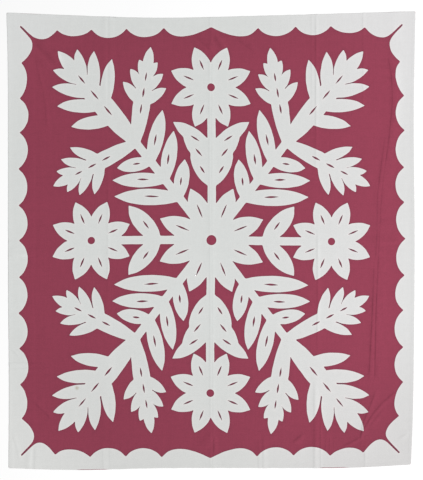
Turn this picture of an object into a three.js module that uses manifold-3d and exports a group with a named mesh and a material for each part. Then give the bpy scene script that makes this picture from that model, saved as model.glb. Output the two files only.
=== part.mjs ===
// Tifaifai coverlet, laid out flat and face up: a red cotton ground, a white border with a scalloped
// inner edge and a white centre of leaves and flowers, each cut from its own cloth and sewn down.
// Millimetres, +Z up. The origin is under the middle of the cloth, and +Y is the head end.

import * as THREE from "three";
import { mergeVertices } from "three/addons/utils/BufferGeometryUtils.js";
import Module from "manifold-3d";

const wasm = await Module();
wasm.setup();

// Driving dimensions
const WIDTH = 2160; // side to side
const LENGTH = 2410; // head to foot
const CLOTH = 1; // thickness of each cloth with its turnings
const LAYER_GAP = 0.3; // between the ground and the pieces sewn on it
const EDGE_REVEAL = 2; // ground left in view past the border's outer edge
const EDGE_STEPS = 14; // straight runs along each outer edge
const WELD = 1e-3; // points this close are one
const SNAP = 0.02; // points this close to a fold line are on it
const SIMPLIFY = 0.01; // bends smaller than this are straightened

// Outer corners: how far they lie outside the nominal rectangle, sideways and endways, and how far from
// both edges the tip of the border's slit lies
const CORNERS = {
  footLeft: { sideOut: -3, endOut: 5, slitTip: 69 },
  footRight: { sideOut: -16, endOut: -14, slitTip: 64 },
  headRight: { sideOut: 8, endOut: 15, slitTip: 72 },
  headLeft: { sideOut: 8, endOut: 8, slitTip: 75 },
};

// Outer edges between the corners: place along the side from -1 to 1, and how far out it lies
const EDGES = {
  foot: [
    { at: -0.65, out: 15 },
    { at: -0.2, out: 5 },
    { at: 0.55, out: 5 },
    { at: 0.8, out: -2 },
  ],
  right: [
    { at: -0.75, out: -5 },
    { at: -0.45, out: 0 },
    { at: 0, out: 4 },
    { at: 0.55, out: -1 },
  ],
  head: [
    { at: 0.72, out: 6 },
    { at: 0.24, out: -9 },
    { at: -0.27, out: -20 },
    { at: -0.72, out: -5 },
  ],
  left: [
    { at: 0.7, out: 0 },
    { at: -0.2, out: -1 },
    { at: -0.6, out: -5 },
  ],
};

// Scalloped inner edge of the border: distances of the notches from the middle of their side
const END_NOTCHES = [0, 253, 447, 638, 819];
const SIDE_NOTCHES = [0, 192, 383, 575, 761, 945];

// How far the notches lie from the nominal outer edge at the start, middle and end of a side, clockwise,
// how much further in those next to the corners lie, how much further out the middle one lies, and how
// far all are shifted along the side
const NOTCH_INSETS = {
  head: { from: 80, middle: 74, to: 62, drop: 5, rise: 6, shift: 0 },
  right: { from: 57, middle: 50, to: 65, drop: 14, rise: 2, shift: -10 },
  foot: { from: 66, middle: 53, to: 56, drop: 13, rise: 2, shift: 7 },
  left: { from: 62, middle: 57, to: 62, drop: 11, rise: 2, shift: -2 },
};
const NOTCH_WANDER = 3; // hand-cut unevenness of the notches
const SCALLOP_DEPTH = 47; // from the notches to the crest of a scallop
const LAST_SCALLOP_DEPTH = 34; // depth of the scallops next to the corner ones
const SCALLOP_HANDLE = 0.24; // fullness of a scallop, as a share of its length
const SCALLOP_STEPS = 7; // straight runs along a scallop

// Handles of the long scallops in the middle of the head and foot, which lean away from the middle notch:
// share of their length, and distance inwards
const LEAN_MIDDLE = { share: 0.33, inward: 41 };
const LEAN_OUTER = { share: 0.24, inward: 81 };

// Corner slits of the border: their widths, and how far their mouths lie from both edges
const SLIT_TIP_WIDTH = 8.5;
const SLIT_MOUTH = { inset: 128, width: 15 };
const CORNER_LEAVE = { along: 38, inward: 30 }; // handle of a corner scallop at the slit
const CORNER_ARRIVE = { along: 45, inward: 58 }; // and at the first notch

// Centre piece
const STEM = 44; // width of the stems
const BLADE_STEPS = 5; // straight runs along one side of a leaf or petal
const HAND_WANDER = 5; // how far the sewn piece strays from its folded pattern

// Flowers: place, reach of the petals, their width and the turn of the first one
const FLOWERS = [
  { x: 0, y: 0, reach: 296, width: 126, turn: 22.5 },
  { x: 0, y: 815, reach: 230, width: 110, turn: 22.5 },
  { x: 0, y: -815, reach: 230, width: 110, turn: 22.5 },
  { x: 640, y: 0, reach: 224, width: 108, turn: 22.5 },
  { x: -640, y: 0, reach: 224, width: 108, turn: 22.5 },
];
const PETALS = 8;
const FLOWER_CORE = 0.36; // radius of the whole middle, as a share of the reach
const FLOWER_EYE = 0.09; // radius of the hole in the middle

// Lobed leaves of one quarter: foot of the stalk, heading, length, spread of the lobes and the first
// lobe on each side
const LOBED_LEAVES = [
  { x: 400, y: 520, heading: 50, length: 640, spread: 1, leftFrom: 2, rightFrom: 1 },
  { x: 400, y: 520, heading: -27, length: 500, spread: 0.95, leftFrom: 2, rightFrom: 2 },
  { x: 400, y: 520, heading: 99, length: 516, spread: 0.76, leftFrom: 2, rightFrom: 2 },
];

// Lobes on each side of a lobed leaf, in shares of its length
const LOBES = [
  { station: 0.14, reach: 0.3, angle: 76, width: 0.106 },
  { station: 0.27, reach: 0.37, angle: 65, width: 0.118 },
  { station: 0.41, reach: 0.39, angle: 55, width: 0.12 },
  { station: 0.54, reach: 0.35, angle: 46, width: 0.114 },
  { station: 0.67, reach: 0.27, angle: 36, width: 0.1 },
];
const END_LOBE = { station: 0.68, reach: 0.32, width: 0.12 };
const LOBE_BEND = 0.03; // sideways bend of a lobe's tip
const LEAF_BODY = { reach: 0.9, width: 0.19 };

// Plain leaves of one quarter: root, heading, length, width and sideways bend of the tip
const PLAIN_LEAVES = [
  { x: 0, y: 296, heading: 57, length: 220, width: 92, bend: 10 },
  { x: 0, y: 384, heading: 50, length: 254, width: 96, bend: 12 },
  { x: 0, y: 484, heading: 33, length: 250, width: 88, bend: 12 },
  { x: 286, y: 0, heading: 53, length: 240, width: 104, bend: -12 },
  { x: 172, y: 224, heading: 96, length: 208, width: 84, bend: 8 },
  { x: 245, y: 319, heading: 98, length: 268, width: 84, bend: 8 },
  { x: 320, y: 417, heading: 101, length: 286, width: 86, bend: 8 },
  { x: 172, y: 224, heading: 3, length: 346, width: 94, bend: -8 },
  { x: 245, y: 319, heading: 2, length: 282, width: 84, bend: -8 },
  { x: 320, y: 417, heading: -7, length: 184, width: 80, bend: -8 },
];

// Stems of one quarter: foot, heading and length
const STEMS = [
  { x: 0, y: 0, heading: 90, length: 760 },
  { x: 0, y: 0, heading: 0, length: 580 },
  { x: 0, y: 0, heading: 52.5, length: 690 },
];

// Vein cuts that show the ground: start and length as shares of the blade, and width
const PETAL_VEIN = { from: 0.42, length: 0.28, width: 9 };
const LEAF_VEIN = { from: 0.3, length: 0.24, width: 10 };
const RIB_VEINS = [
  { from: 0.3, length: 0.11, width: 10 },
  { from: 0.47, length: 0.11, width: 10 },
  { from: 0.64, length: 0.1, width: 9 },
];

// Folds pressed into the cloth from edge to edge: a point on each, its heading, height and half width
const FOLDS = [
  { x: -551, y: 0, heading: 90, height: 3, spread: 22 },
  { x: 0, y: 0, heading: 90, height: 4, spread: 20 },
  { x: 561, y: 0, heading: 90, height: 3, spread: 22 },
  { x: 902, y: 72, heading: 86.5, height: 5, spread: 26 },
  { x: 0, y: -79, heading: 0, height: 3, spread: 20 },
];

const { degToRad, radToDeg } = THREE.MathUtils;

// Shapes of one cut

// A pointed leaf along +X, with its root on the origin
function bladeShape({ length, width, root = 0.45 * width, bend = 0 }) {
  const half = 0.58 * width;
  const shape = new THREE.Shape();
  shape.moveTo(0, -root / 2);
  shape.bezierCurveTo(0.3 * length, -half, 0.74 * length, bend - half, length, bend);
  shape.bezierCurveTo(0.74 * length, bend + half, 0.3 * length, half, 0, root / 2);
  return shape;
}

// A cut along +X, pointed at both ends
function veinShape({ length, width }) {
  const shape = new THREE.Shape();
  shape.moveTo(0, 0);
  shape.lineTo(length / 2, -width / 2);
  shape.lineTo(length, 0);
  shape.lineTo(length / 2, width / 2);
  return shape;
}

function stemShape({ length }) {
  const shape = new THREE.Shape();
  shape.moveTo(0, -STEM / 2);
  shape.lineTo(length, -STEM / 2);
  shape.lineTo(length, STEM / 2);
  shape.lineTo(0, STEM / 2);
  return shape;
}

function discShape(radius) {
  return new THREE.Shape().absarc(0, 0, radius, 0, 2 * Math.PI);
}

// Solids

function extrude(shape, steps) {
  return new THREE.ExtrudeGeometry(shape, { depth: CLOTH, bevelEnabled: false, curveSegments: steps });
}

// Solid of a flat shape, turned to its heading and moved to its place
function cutOut(shape, { x, y, heading = 0 }, steps) {
  const geometry = extrude(shape, steps);
  geometry.rotateZ(degToRad(heading));
  geometry.translate(x, y, 0);
  return toSolid(geometry);
}

function toSolid(geometry) {
  geometry.deleteAttribute("normal");
  geometry.deleteAttribute("uv");
  const shared = mergeVertices(geometry, WELD);
  const vertProperties = new Float32Array(shared.getAttribute("position").array);
  const triVerts = new Uint32Array(shared.getIndex().array);
  return new wasm.Manifold(new wasm.Mesh({ numProp: 3, vertProperties, triVerts }));
}

// Geometry of a solid, with flat neighbouring faces merged
function toGeometry(solid) {
  const { vertProperties, triVerts } = solid.asOriginal().simplify(SIMPLIFY).getMesh();
  const geometry = new THREE.BufferGeometry();
  geometry.setAttribute("position", new THREE.BufferAttribute(vertProperties, 3));
  geometry.setIndex(new THREE.BufferAttribute(triVerts, 1));
  return geometry;
}

const joined = (solids) => solids.reduce((sum, solid) => sum.add(solid));

// Outer edge of the cloth, counter-clockwise, drawn in by an inset
function outlineShape(inset) {
  const sideways = WIDTH / 2 - inset;
  const endways = LENGTH / 2 - inset;
  const corner = ({ sideOut, endOut }, sx, sy) =>
    new THREE.Vector2(sx * (sideways + sideOut), sy * (endways + endOut));
  const footLeft = corner(CORNERS.footLeft, -1, -1);
  const footRight = corner(CORNERS.footRight, 1, -1);
  const headRight = corner(CORNERS.headRight, 1, 1);
  const headLeft = corner(CORNERS.headLeft, -1, 1);
  const endRows = (rows, sy) =>
    rows.map(({ at, out }) => new THREE.Vector2(at * sideways, sy * (endways + out)));
  const sideRows = (rows, sx) =>
    rows.map(({ at, out }) => new THREE.Vector2(sx * (sideways + out), at * endways));
  const sides = [
    [footLeft, ...endRows(EDGES.foot, -1), footRight],
    [footRight, ...sideRows(EDGES.right, 1), headRight],
    [headRight, ...endRows(EDGES.head, 1), headLeft],
    [headLeft, ...sideRows(EDGES.left, -1), footLeft],
  ];
  const drawn = sides.map((rows) => new THREE.SplineCurve(rows).getPoints(EDGE_STEPS));
  return new THREE.Shape(drawn.flatMap((points) => points.slice(0, -1)));
}

// Inner edge of the border, clockwise: from slit to slit along each side, scallop after scallop
function scallopPath() {
  const { headLeft, headRight, footRight, footLeft } = CORNERS;
  const end = {
    half: WIDTH / 2,
    out: LENGTH / 2,
    stations: END_NOTCHES,
    leaning: true,
    along: "sideOut",
    across: "endOut",
  };
  const flank = {
    half: LENGTH / 2,
    out: WIDTH / 2,
    stations: SIDE_NOTCHES,
    leaning: false,
    along: "endOut",
    across: "sideOut",
  };
  const sides = [
    { ...end, turn: 0, insets: NOTCH_INSETS.head, corners: [headLeft, headRight] },
    { ...flank, turn: -90, insets: NOTCH_INSETS.right, corners: [headRight, footRight] },
    { ...end, turn: 180, insets: NOTCH_INSETS.foot, corners: [footRight, footLeft] },
    { ...flank, turn: 90, insets: NOTCH_INSETS.left, corners: [footLeft, headLeft] },
  ];
  const path = new THREE.Path();
  sides.forEach((side, i) => addScallops(path, side, i));
  path.closePath();
  return path;
}

function addScallops(path, side, sideIndex) {
  const place = (along, inward) =>
    new THREE.Vector2(along, side.out - inward).rotateAround(new THREE.Vector2(), degToRad(side.turn));
  const curve = (...points) => path.bezierCurveTo(...points.flatMap((point) => point.toArray()));
  const [startCorner, endCorner] = side.corners;
  const endSlit = slitEdges(side, endCorner);
  const startSlit = slitEdges(side, startCorner);
  const notches = notchPlaces(side, sideIndex);
  const first = notches[0];
  const last = notches.at(-1);

  const start = place(-startSlit.tip.along, startSlit.tip.inward);
  if (sideIndex === 0) {
    path.moveTo(start.x, start.y);
  } else {
    path.lineTo(start.x, start.y);
  }
  path.lineTo(...place(-startSlit.mouth.along, startSlit.mouth.inward).toArray());
  curve(
    place(-startSlit.mouth.along + CORNER_LEAVE.along, startSlit.mouth.inward + CORNER_LEAVE.inward),
    place(first.along - CORNER_ARRIVE.along, first.inward + CORNER_ARRIVE.inward),
    place(first.along, first.inward),
  );
  for (let i = 1; i < notches.length; i += 1) {
    const from = notches[i - 1];
    const to = notches[i];
    const length = to.along - from.along;
    const [leave, arrive] = scallopHandles(side, i, notches.length - 1);
    curve(
      place(from.along + leave.share * length, from.inward + leave.inward),
      place(to.along - arrive.share * length, to.inward + arrive.inward),
      place(to.along, to.inward),
    );
  }
  curve(
    place(last.along + CORNER_ARRIVE.along, last.inward + CORNER_ARRIVE.inward),
    place(endSlit.mouth.along - CORNER_LEAVE.along, endSlit.mouth.inward + CORNER_LEAVE.inward),
    place(endSlit.mouth.along, endSlit.mouth.inward),
  );
  path.lineTo(...place(endSlit.tip.along, endSlit.tip.inward).toArray());
}

// Handles of a scallop where it leaves its first notch and where it arrives at the next one
function scallopHandles({ leaning }, index, count) {
  if (leaning && index === count / 2) {
    return [LEAN_OUTER, LEAN_MIDDLE];
  }
  if (leaning && index === count / 2 + 1) {
    return [LEAN_MIDDLE, LEAN_OUTER];
  }
  const byCorner = index === 1 || index === count;
  const inward = (4 / 3) * (byCorner ? LAST_SCALLOP_DEPTH : SCALLOP_DEPTH);
  const handle = { share: SCALLOP_HANDLE, inward };
  return [handle, handle];
}

// Near edge of a corner slit: distance from the middle of the side and from the nominal outer edge
function slitEdges({ half, along, across }, corner) {
  const edge = ({ inset, width }) => {
    const aside = width / (2 * Math.SQRT2);
    return { along: half + corner[along] - inset - aside, inward: inset - corner[across] - aside };
  };
  return { tip: edge({ inset: corner.slitTip, width: SLIT_TIP_WIDTH }), mouth: edge(SLIT_MOUTH) };
}

// Notches of one side in order: distance from the middle of the side and from the nominal outer edge
function notchPlaces({ stations, insets }, sideIndex) {
  const farthest = stations.at(-1);
  const all = [...stations.slice(1).reverse().map((station) => -station), ...stations];
  return all.map((station, i) => {
    const share = station / farthest;
    const slope = (insets.to - insets.from) / 2;
    const bow = (insets.to + insets.from) / 2 - insets.middle;
    const inset = insets.middle + slope * share + bow * share ** 2;
    const drop = Math.abs(share) === 1 ? insets.drop : 0;
    const rise = share === 0 ? insets.rise : 0;
    return {
      along: station + insets.shift + NOTCH_WANDER * Math.sin(2.3 * i + sideIndex),
      inward: inset + drop - rise + NOTCH_WANDER * Math.sin(1.7 * i + 2 * sideIndex),
    };
  });
}

// Centre piece

// A row of one quarter, repeated in all four by folding the cloth twice
function unfolded(row) {
  const signs = [[1, 1], [-1, 1], [-1, -1], [1, -1]];
  const across = Math.cos(degToRad(row.heading));
  const along = Math.sin(degToRad(row.heading));
  return signs.map(([sx, sy]) => ({
    ...row,
    x: sx * row.x,
    y: sy * row.y,
    heading: radToDeg(Math.atan2(sy * along, sx * across)),
    bend: sx * sy * (row.bend ?? 0),
  }));
}

// Blades of a lobed leaf: its body, the lobes in pairs and the lobe at the tip
function lobedLeafBlades({ x, y, heading, length, spread, leftFrom, rightFrom }) {
  const onRib = (station) => ({
    x: x + station * length * Math.cos(degToRad(heading)),
    y: y + station * length * Math.sin(degToRad(heading)),
  });
  const lobe = (hand) => ({ station, reach, angle, width }) => ({
    ...onRib(station),
    heading: heading + hand * angle,
    length: spread * reach * length,
    width: width * length,
    bend: -hand * LOBE_BEND * length,
  });
  const lobes = [...LOBES.slice(leftFrom).map(lobe(1)), ...LOBES.slice(rightFrom).map(lobe(-1))];
  return [
    { x, y, heading, length: LEAF_BODY.reach * length, width: LEAF_BODY.width * length },
    { ...onRib(END_LOBE.station), heading, length: END_LOBE.reach * length, width: END_LOBE.width * length },
    ...lobes,
  ];
}

function petalBlades({ x, y, reach, width, turn }) {
  return Array.from({ length: PETALS }, (_, i) => ({
    x,
    y,
    heading: turn + (360 / PETALS) * i,
    length: reach,
    width,
  }));
}

// Place and size of a vein cut in a blade
function veinIn({ x, y, heading, length }, { from, length: share, width }) {
  return {
    x: x + from * length * Math.cos(degToRad(heading)),
    y: y + from * length * Math.sin(degToRad(heading)),
    heading,
    length: share * length,
    width,
  };
}

function centreSolid() {
  const petals = FLOWERS.flatMap(petalBlades);
  const lobed = LOBED_LEAVES.flatMap(unfolded);
  const plain = PLAIN_LEAVES.flatMap(unfolded);
  const blades = [...petals, ...plain, ...LOBED_LEAVES.flatMap(lobedLeafBlades).flatMap(unfolded)];
  const cloth = joined([
    ...blades.map((blade) => cutOut(bladeShape(blade), blade, BLADE_STEPS)),
    ...STEMS.flatMap(unfolded).map((stem) => cutOut(stemShape(stem), stem, 1)),
    ...FLOWERS.map((flower) => cutOut(discShape(FLOWER_CORE * flower.reach), flower, 8)),
  ]);
  const veins = [
    ...petals.map((petal) => veinIn(petal, PETAL_VEIN)),
    ...plain.map((leaf) => veinIn(leaf, LEAF_VEIN)),
    ...lobed.flatMap((leaf) => RIB_VEINS.map((vein) => veinIn(leaf, vein))),
  ];
  const cuts = joined([
    ...veins.map((vein) => cutOut(veinShape(vein), vein, 1)),
    ...FLOWERS.map((flower) => cutOut(discShape(FLOWER_EYE * flower.reach), flower, 5)),
  ]);
  return cloth.subtract(cuts);
}

// Sewn cloths

// Drift of the sewn piece away from its folded pattern
function strayed({ x, y, z }) {
  const sideways = 0.6 * Math.sin(y / 260 + 0.7) + 0.4 * Math.sin(x / 170 + y / 410);
  const endways = 0.6 * Math.sin(x / 240 + 2.1) + 0.4 * Math.sin(y / 190 - x / 370);
  return new THREE.Vector3(x + HAND_WANDER * sideways, y + HAND_WANDER * endways, z);
}

// Distance of a point from the line of a fold, positive on its left
function besideFold({ x, y }, fold) {
  const heading = degToRad(fold.heading);
  return (y - fold.y) * Math.cos(heading) - (x - fold.x) * Math.sin(heading);
}

// Height of the cloth at a point: each fold is a ridge that falls off evenly on both sides
function foldHeight(point) {
  return FOLDS.reduce((sum, fold) => {
    const away = Math.abs(besideFold(point, fold)) / fold.spread;
    return sum + fold.height * Math.max(0, 1 - away);
  }, 0);
}

// Triangles of a geometry as lists of three points
function trianglesOf(geometry) {
  const flat = geometry.index ? geometry.toNonIndexed() : geometry;
  const position = flat.getAttribute("position");
  const corner = (i) => new THREE.Vector3().fromBufferAttribute(position, i);
  const triangle = (_, i) => [corner(3 * i), corner(3 * i + 1), corner(3 * i + 2)];
  return Array.from({ length: position.count / 3 }, triangle);
}

// Triangles cut where they cross a line, so that the cloth can bend there
function splitTriangles(triangles, beside) {
  return triangles.flatMap((triangle) => {
    const sides = triangle.map((point) => {
      const distance = beside(point);
      return Math.abs(distance) < SNAP ? 0 : distance;
    });
    if (Math.min(...sides) >= 0 || Math.max(...sides) <= 0) {
      return [triangle];
    }
    const left = [];
    const right = [];
    triangle.forEach((point, i) => {
      const next = (i + 1) % 3;
      if (sides[i] >= 0) left.push(point);
      if (sides[i] <= 0) right.push(point);
      if (sides[i] * sides[next] < 0) {
        const [low, high] = sides[i] < 0 ? [i, next] : [next, i];
        const share = sides[low] / (sides[low] - sides[high]);
        const crossing = triangle[low].clone().lerp(triangle[high], share);
        left.push(crossing);
        right.push(crossing);
      }
    });
    return [left, right].flatMap((ring) => ring.slice(2).map((point, i) => [ring[0], ring[i + 1], point]));
  });
}

// Geometry of a cloth with its folds, lying at a given height
function folded(geometry, bottom) {
  let triangles = trianglesOf(geometry);
  for (const fold of FOLDS) {
    for (const offset of [-fold.spread, 0, fold.spread]) {
      triangles = splitTriangles(triangles, (point) => besideFold(point, fold) - offset);
    }
  }
  const lifted = triangles.flat().map((point) => {
    const height = point.z + bottom + foldHeight(point);
    return new THREE.Vector3(point.x, point.y, height);
  });
  return toGeometry(toSolid(new THREE.BufferGeometry().setFromPoints(lifted)));
}

function addCloth(group, name, geometry, material) {
  const mesh = new THREE.Mesh(geometry, material);
  mesh.name = name;
  group.add(mesh);
}

// The coverlet

const red = new THREE.MeshStandardMaterial({ color: 0x93425a, roughness: 0.9, metalness: 0 });
const white = new THREE.MeshStandardMaterial({ color: 0xe4e4e2, roughness: 0.9, metalness: 0 });
const sewnOn = CLOTH + LAYER_GAP;

const borderShape = outlineShape(EDGE_REVEAL);
borderShape.holes.push(scallopPath());
const centre = toGeometry(centreSolid());
const strayedCentre = new THREE.BufferGeometry().setFromPoints(trianglesOf(centre).flat().map(strayed));

const group = new THREE.Group();
addCloth(group, "ground_cloth", folded(extrude(outlineShape(0), 1), 0), red);
addCloth(group, "border_applique", folded(extrude(borderShape, SCALLOP_STEPS), sewnOn), white);
addCloth(group, "centre_applique", folded(strayedCentre, sewnOn), white);

export default group;
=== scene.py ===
"""Looks of the tifaifai quilt: a red cotton ground with a white scalloped border and a white
cut-out centre sewn onto it, laid out on a pale floor and seen from straight above.
Shapes are worked out in millimetres in the row frame and written to the meshes in metres."""

import math
from collections import namedtuple

import bpy
import numpy as np
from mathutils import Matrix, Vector
from mathutils.geometry import delaunay_2d_cdt
from mathutils.kdtree import KDTree


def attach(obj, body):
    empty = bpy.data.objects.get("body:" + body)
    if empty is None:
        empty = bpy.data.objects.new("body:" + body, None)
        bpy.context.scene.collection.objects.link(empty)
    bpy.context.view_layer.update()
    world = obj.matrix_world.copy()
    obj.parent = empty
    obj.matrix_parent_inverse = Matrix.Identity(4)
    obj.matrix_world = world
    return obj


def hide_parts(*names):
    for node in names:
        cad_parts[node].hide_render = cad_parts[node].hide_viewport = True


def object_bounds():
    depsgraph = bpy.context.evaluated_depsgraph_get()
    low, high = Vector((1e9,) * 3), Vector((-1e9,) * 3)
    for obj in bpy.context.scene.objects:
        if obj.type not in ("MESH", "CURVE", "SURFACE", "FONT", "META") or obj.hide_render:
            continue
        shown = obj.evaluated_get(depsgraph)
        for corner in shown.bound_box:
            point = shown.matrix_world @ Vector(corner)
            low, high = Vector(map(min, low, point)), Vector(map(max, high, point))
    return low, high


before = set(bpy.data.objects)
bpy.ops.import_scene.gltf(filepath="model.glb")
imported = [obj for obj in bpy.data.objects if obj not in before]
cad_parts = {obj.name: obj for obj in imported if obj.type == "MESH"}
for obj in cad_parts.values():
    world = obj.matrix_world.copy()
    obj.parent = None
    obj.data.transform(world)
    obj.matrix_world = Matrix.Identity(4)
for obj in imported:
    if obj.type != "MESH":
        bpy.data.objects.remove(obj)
cad_low, cad_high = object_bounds()

MM = 0.001
# Keeps a length from being nothing where it is divided by
TINY = 1e-9

# Photograph frame in pixels, and the millimetres of cloth to a pixel
IMAGE_WIDTH = 423
IMAGE_HEIGHT = 480
IMAGE_SCALE = 5.32
CLOTH_CENTRE_PIXEL = (211.0, 240.6)

# Cloth layers, and the turned edges and hem of the white pieces
GROUND_THICKNESS = 0.3
LAYER_GAP = 0.06
APPLIQUE_THICKNESS = 0.35
RIM_HEIGHT = 0.08
TURN_RADIUS = 0.9
ALLOWANCE_WIDTH = 8.0
ALLOWANCE_BULGE = 0.15
ALLOWANCE_FALL = 0.35
HEM_WIDTH = 16.0
HEM_BULGE = 0.18
HEM_STEP = 2.5

# Distances from an edge at which a sheet has a row of mesh points
EDGE_RINGS = (0.4, TURN_RADIUS, 1.5, ALLOWANCE_WIDTH)
HEM_RINGS = (0.4, TURN_RADIUS, 1.5, 6.0, HEM_WIDTH - HEM_STEP, HEM_WIDTH, HEM_WIDTH + HEM_STEP)
GROUND_RINGS = (1.5, 5.0)
SEAM_RINGS = (0.0, 4.0)
RING_SHARE = 0.9
RING_SPACING = 0.2
TIP_POINTS = 8
TIP_REACH = 2.0

# The ground under the white pieces, and how far its painted shade reaches beside their seams and in the
# narrow gaps of the cut-out
COVER_INSET = 1.5
COVER_FADE = 6.0
COVER_SINK = 0.1
COVER_SHARE = 0.5
SEAM_REACH = 5.0
NARROW_REACH = 9.0
NARROW_RANGE = (20.0, 36.0)

# Outlines: how they are read from the upper faces of the solids, and how they are drawn
UPPER_FACE = 0.5
PLACE_DECIMALS = 2
SMALLEST_LOOP = 40.0
STRAIGHT_WITHIN = 0.03
SHORTEST_KNOT = 1e-6
CORNER_TURN = math.radians(40)
CORNER_REACH = 14.0
APPLIQUE_STEP = 5.0
EDGE_STEP = 8.0
HAND_DRIFT = 0.5
HAND_DRIFT_LENGTH = 55.0
HAND_DRIFT_SEED = 5
SLIT_END = 12.0
SLIT_END_POINTS = 8
SLIT_END_BULGE = 0.35
CAD_REVEAL = 2.0
HIDDEN_REVEAL = 0.2
REVEAL_FADE = 45.0

# Mesh density away from the outlines
APPLIQUE_GRID = 17.0
GROUND_GRID = 22.0
FIELD_CLEARANCE = 2.0
TOP_SPACING = 1.5
APPLIQUE_UNDER_SPACING = 3.0
GROUND_UNDER_SPACING = 4.0
CREASE_STATION = 8.0
CREASE_CLEARANCE = 3.0
FLANK_SHARES = (0.33, 0.67, 1.0)
WIDEST_LINE = 30.0
BAND_HEIGHT = 10.0
INSIDE_TRIANGLES = 1
NEARNESS = 1e-5

# Low unevenness of the laid cloth, and of the height along a crease
WAVE_COUNT = 7
WAVE_PITCHES = (0.7, 1.4)
WAVE_PEAK = 1.4
UNDULATION = 0.4
UNDULATION_LENGTH = 380.0
UNDULATION_SEED = 11
EDGE_LYING = 90.0
RUMPLE = 0.05
RUMPLE_LENGTH = 46.0
RUMPLE_SEED = 23
PUCKER = 0.12
PUCKER_LENGTH = 27.0
PUCKER_SEED = 37
PUCKER_REACH = 16.0
CREASE_PATH_STEP = 40.0
CREASE_WAVINESS = 0.2
CREASE_SLOW_WAVE = 61.0
CREASE_QUICK_WAVE = 23.0

# Sewing
STITCH_SPACING = 6.0
STITCH_INSET = 1.2
STITCH_SIZE = (1.4, 0.24, 0.2)
STITCH_LEAN = 0.35
STITCH_LEAN_SPREAD = 0.12
STITCH_JITTER = 0.12
STITCH_SEED = 41
HEM_STITCH_SPACING = 5.0
HEM_STITCH_SIZE = (1.7, 0.26, 0.2)
HEM_STITCH_CLEARANCE = 15.2
HEADING_REACH = 1.0
BEAD_CORNERS = 6
BEAD_FACES = ((0, 2, 4), (2, 1, 4), (1, 3, 4), (3, 0, 4), (2, 0, 5), (1, 2, 5), (3, 1, 5), (0, 3, 5))

# Colours and marks
RED = (0.2555, 0.0437, 0.0768)
WHITE = (0.589, 0.603, 0.592)
THREAD_COLOUR = (0.62, 0.62, 0.61)
# Spread of the mottling, and shares of the colour along seams, along creases and, on the ground alone,
# in the narrow gaps of the cut-out. On the red all three are painted shade; on the white the seam share
# makes the turned edge a little lighter and pinker, and the crease share makes the crests lighter
Cotton = namedtuple("Cotton", "colour spread seam crease narrow")
RED_COTTON = Cotton(RED, 0.075, (0.85, 0.90, 0.90), (0.97, 0.97, 0.97), (0.50, 0.98, 0.82))
WHITE_COTTON = Cotton(WHITE, 0.028, (1.08, 1.05, 1.05), (1.04, 1.04, 1.04), None)
SEAM_MARK_FALL = 0.3
# The crease share comes in over these crease heights; on the red it is painted shade along the creases
CREASE_MARK_RANGE = (0.5, 2.5)
# Painted light and shade: broad stretches of a cloth made lighter and darker towards its sides and
# corners.
# Each has the way it runs, a range along it in metres, and the shares of the colour at the two ends of
# that range
Fade = namedtuple("Fade", "towards low high start end")
TO_RIGHT = (1.0, 0.0, 0.0)
TO_HEAD = (0.0, 1.0, 0.0)
TO_HEAD_LEFT = (-0.71, 0.71, 0.0)
TO_HEAD_RIGHT = (0.71, 0.71, 0.0)
TO_FOOT_LEFT = (-0.71, -0.71, 0.0)
TO_FOOT_RIGHT = (0.71, -0.71, 0.0)
NO_PAINTED_LIGHT = (1.0, 1.0, 1.0)
RED_PAINTED_LIGHT = (
    Fade(TO_RIGHT, -0.5, 1.05, (0.94, 0.94, 0.94), (1.06, 1.06, 1.06)),
    Fade(TO_HEAD, -1.2, -0.4, (0.92, 0.92, 0.92), NO_PAINTED_LIGHT),
    Fade(TO_HEAD, 0.9, 1.1, NO_PAINTED_LIGHT, (0.955, 0.97, 0.96)),
    Fade(TO_HEAD_LEFT, 1.2, 1.5, NO_PAINTED_LIGHT, (1.10, 1.12, 1.11)),
    Fade(TO_HEAD_RIGHT, 1.2, 1.5, NO_PAINTED_LIGHT, (1.05, 1.08, 1.07)),
    Fade(TO_FOOT_LEFT, 1.15, 1.5, NO_PAINTED_LIGHT, (1.09, 1.08, 1.08)),
    Fade(TO_FOOT_RIGHT, 1.0, 1.5, NO_PAINTED_LIGHT, (0.91, 0.93, 0.92)),
)
WHITE_PAINTED_LIGHT = (
    Fade(TO_RIGHT, -1.1, -0.6, (1.035, 1.035, 1.035), NO_PAINTED_LIGHT),
    Fade(TO_RIGHT, 0.1, 0.7, NO_PAINTED_LIGHT, (1.045, 1.022, 1.035)),
    Fade(TO_HEAD, -1.2, -0.4, (0.96, 0.945, 0.945), NO_PAINTED_LIGHT),
    Fade(TO_HEAD_LEFT, 1.2, 1.5, NO_PAINTED_LIGHT, (1.03, 1.02, 1.03)),
    Fade(TO_HEAD_RIGHT, 1.0, 1.5, NO_PAINTED_LIGHT, (1.03, 1.02, 1.03)),
    Fade(TO_FOOT_LEFT, 1.15, 1.5, NO_PAINTED_LIGHT, (1.05, 1.05, 1.05)),
    Fade(TO_FOOT_RIGHT, 1.0, 1.5, NO_PAINTED_LIGHT, (0.93, 0.93, 0.93)),
)
# A small round stain with a ragged edge, in millimetres
Stain = namedtuple("Stain", "x y z radius ragged colour")
STAIN = Stain(-713, -784, 2, 14, 3, (0.41, 0.36, 0.29))

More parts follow.
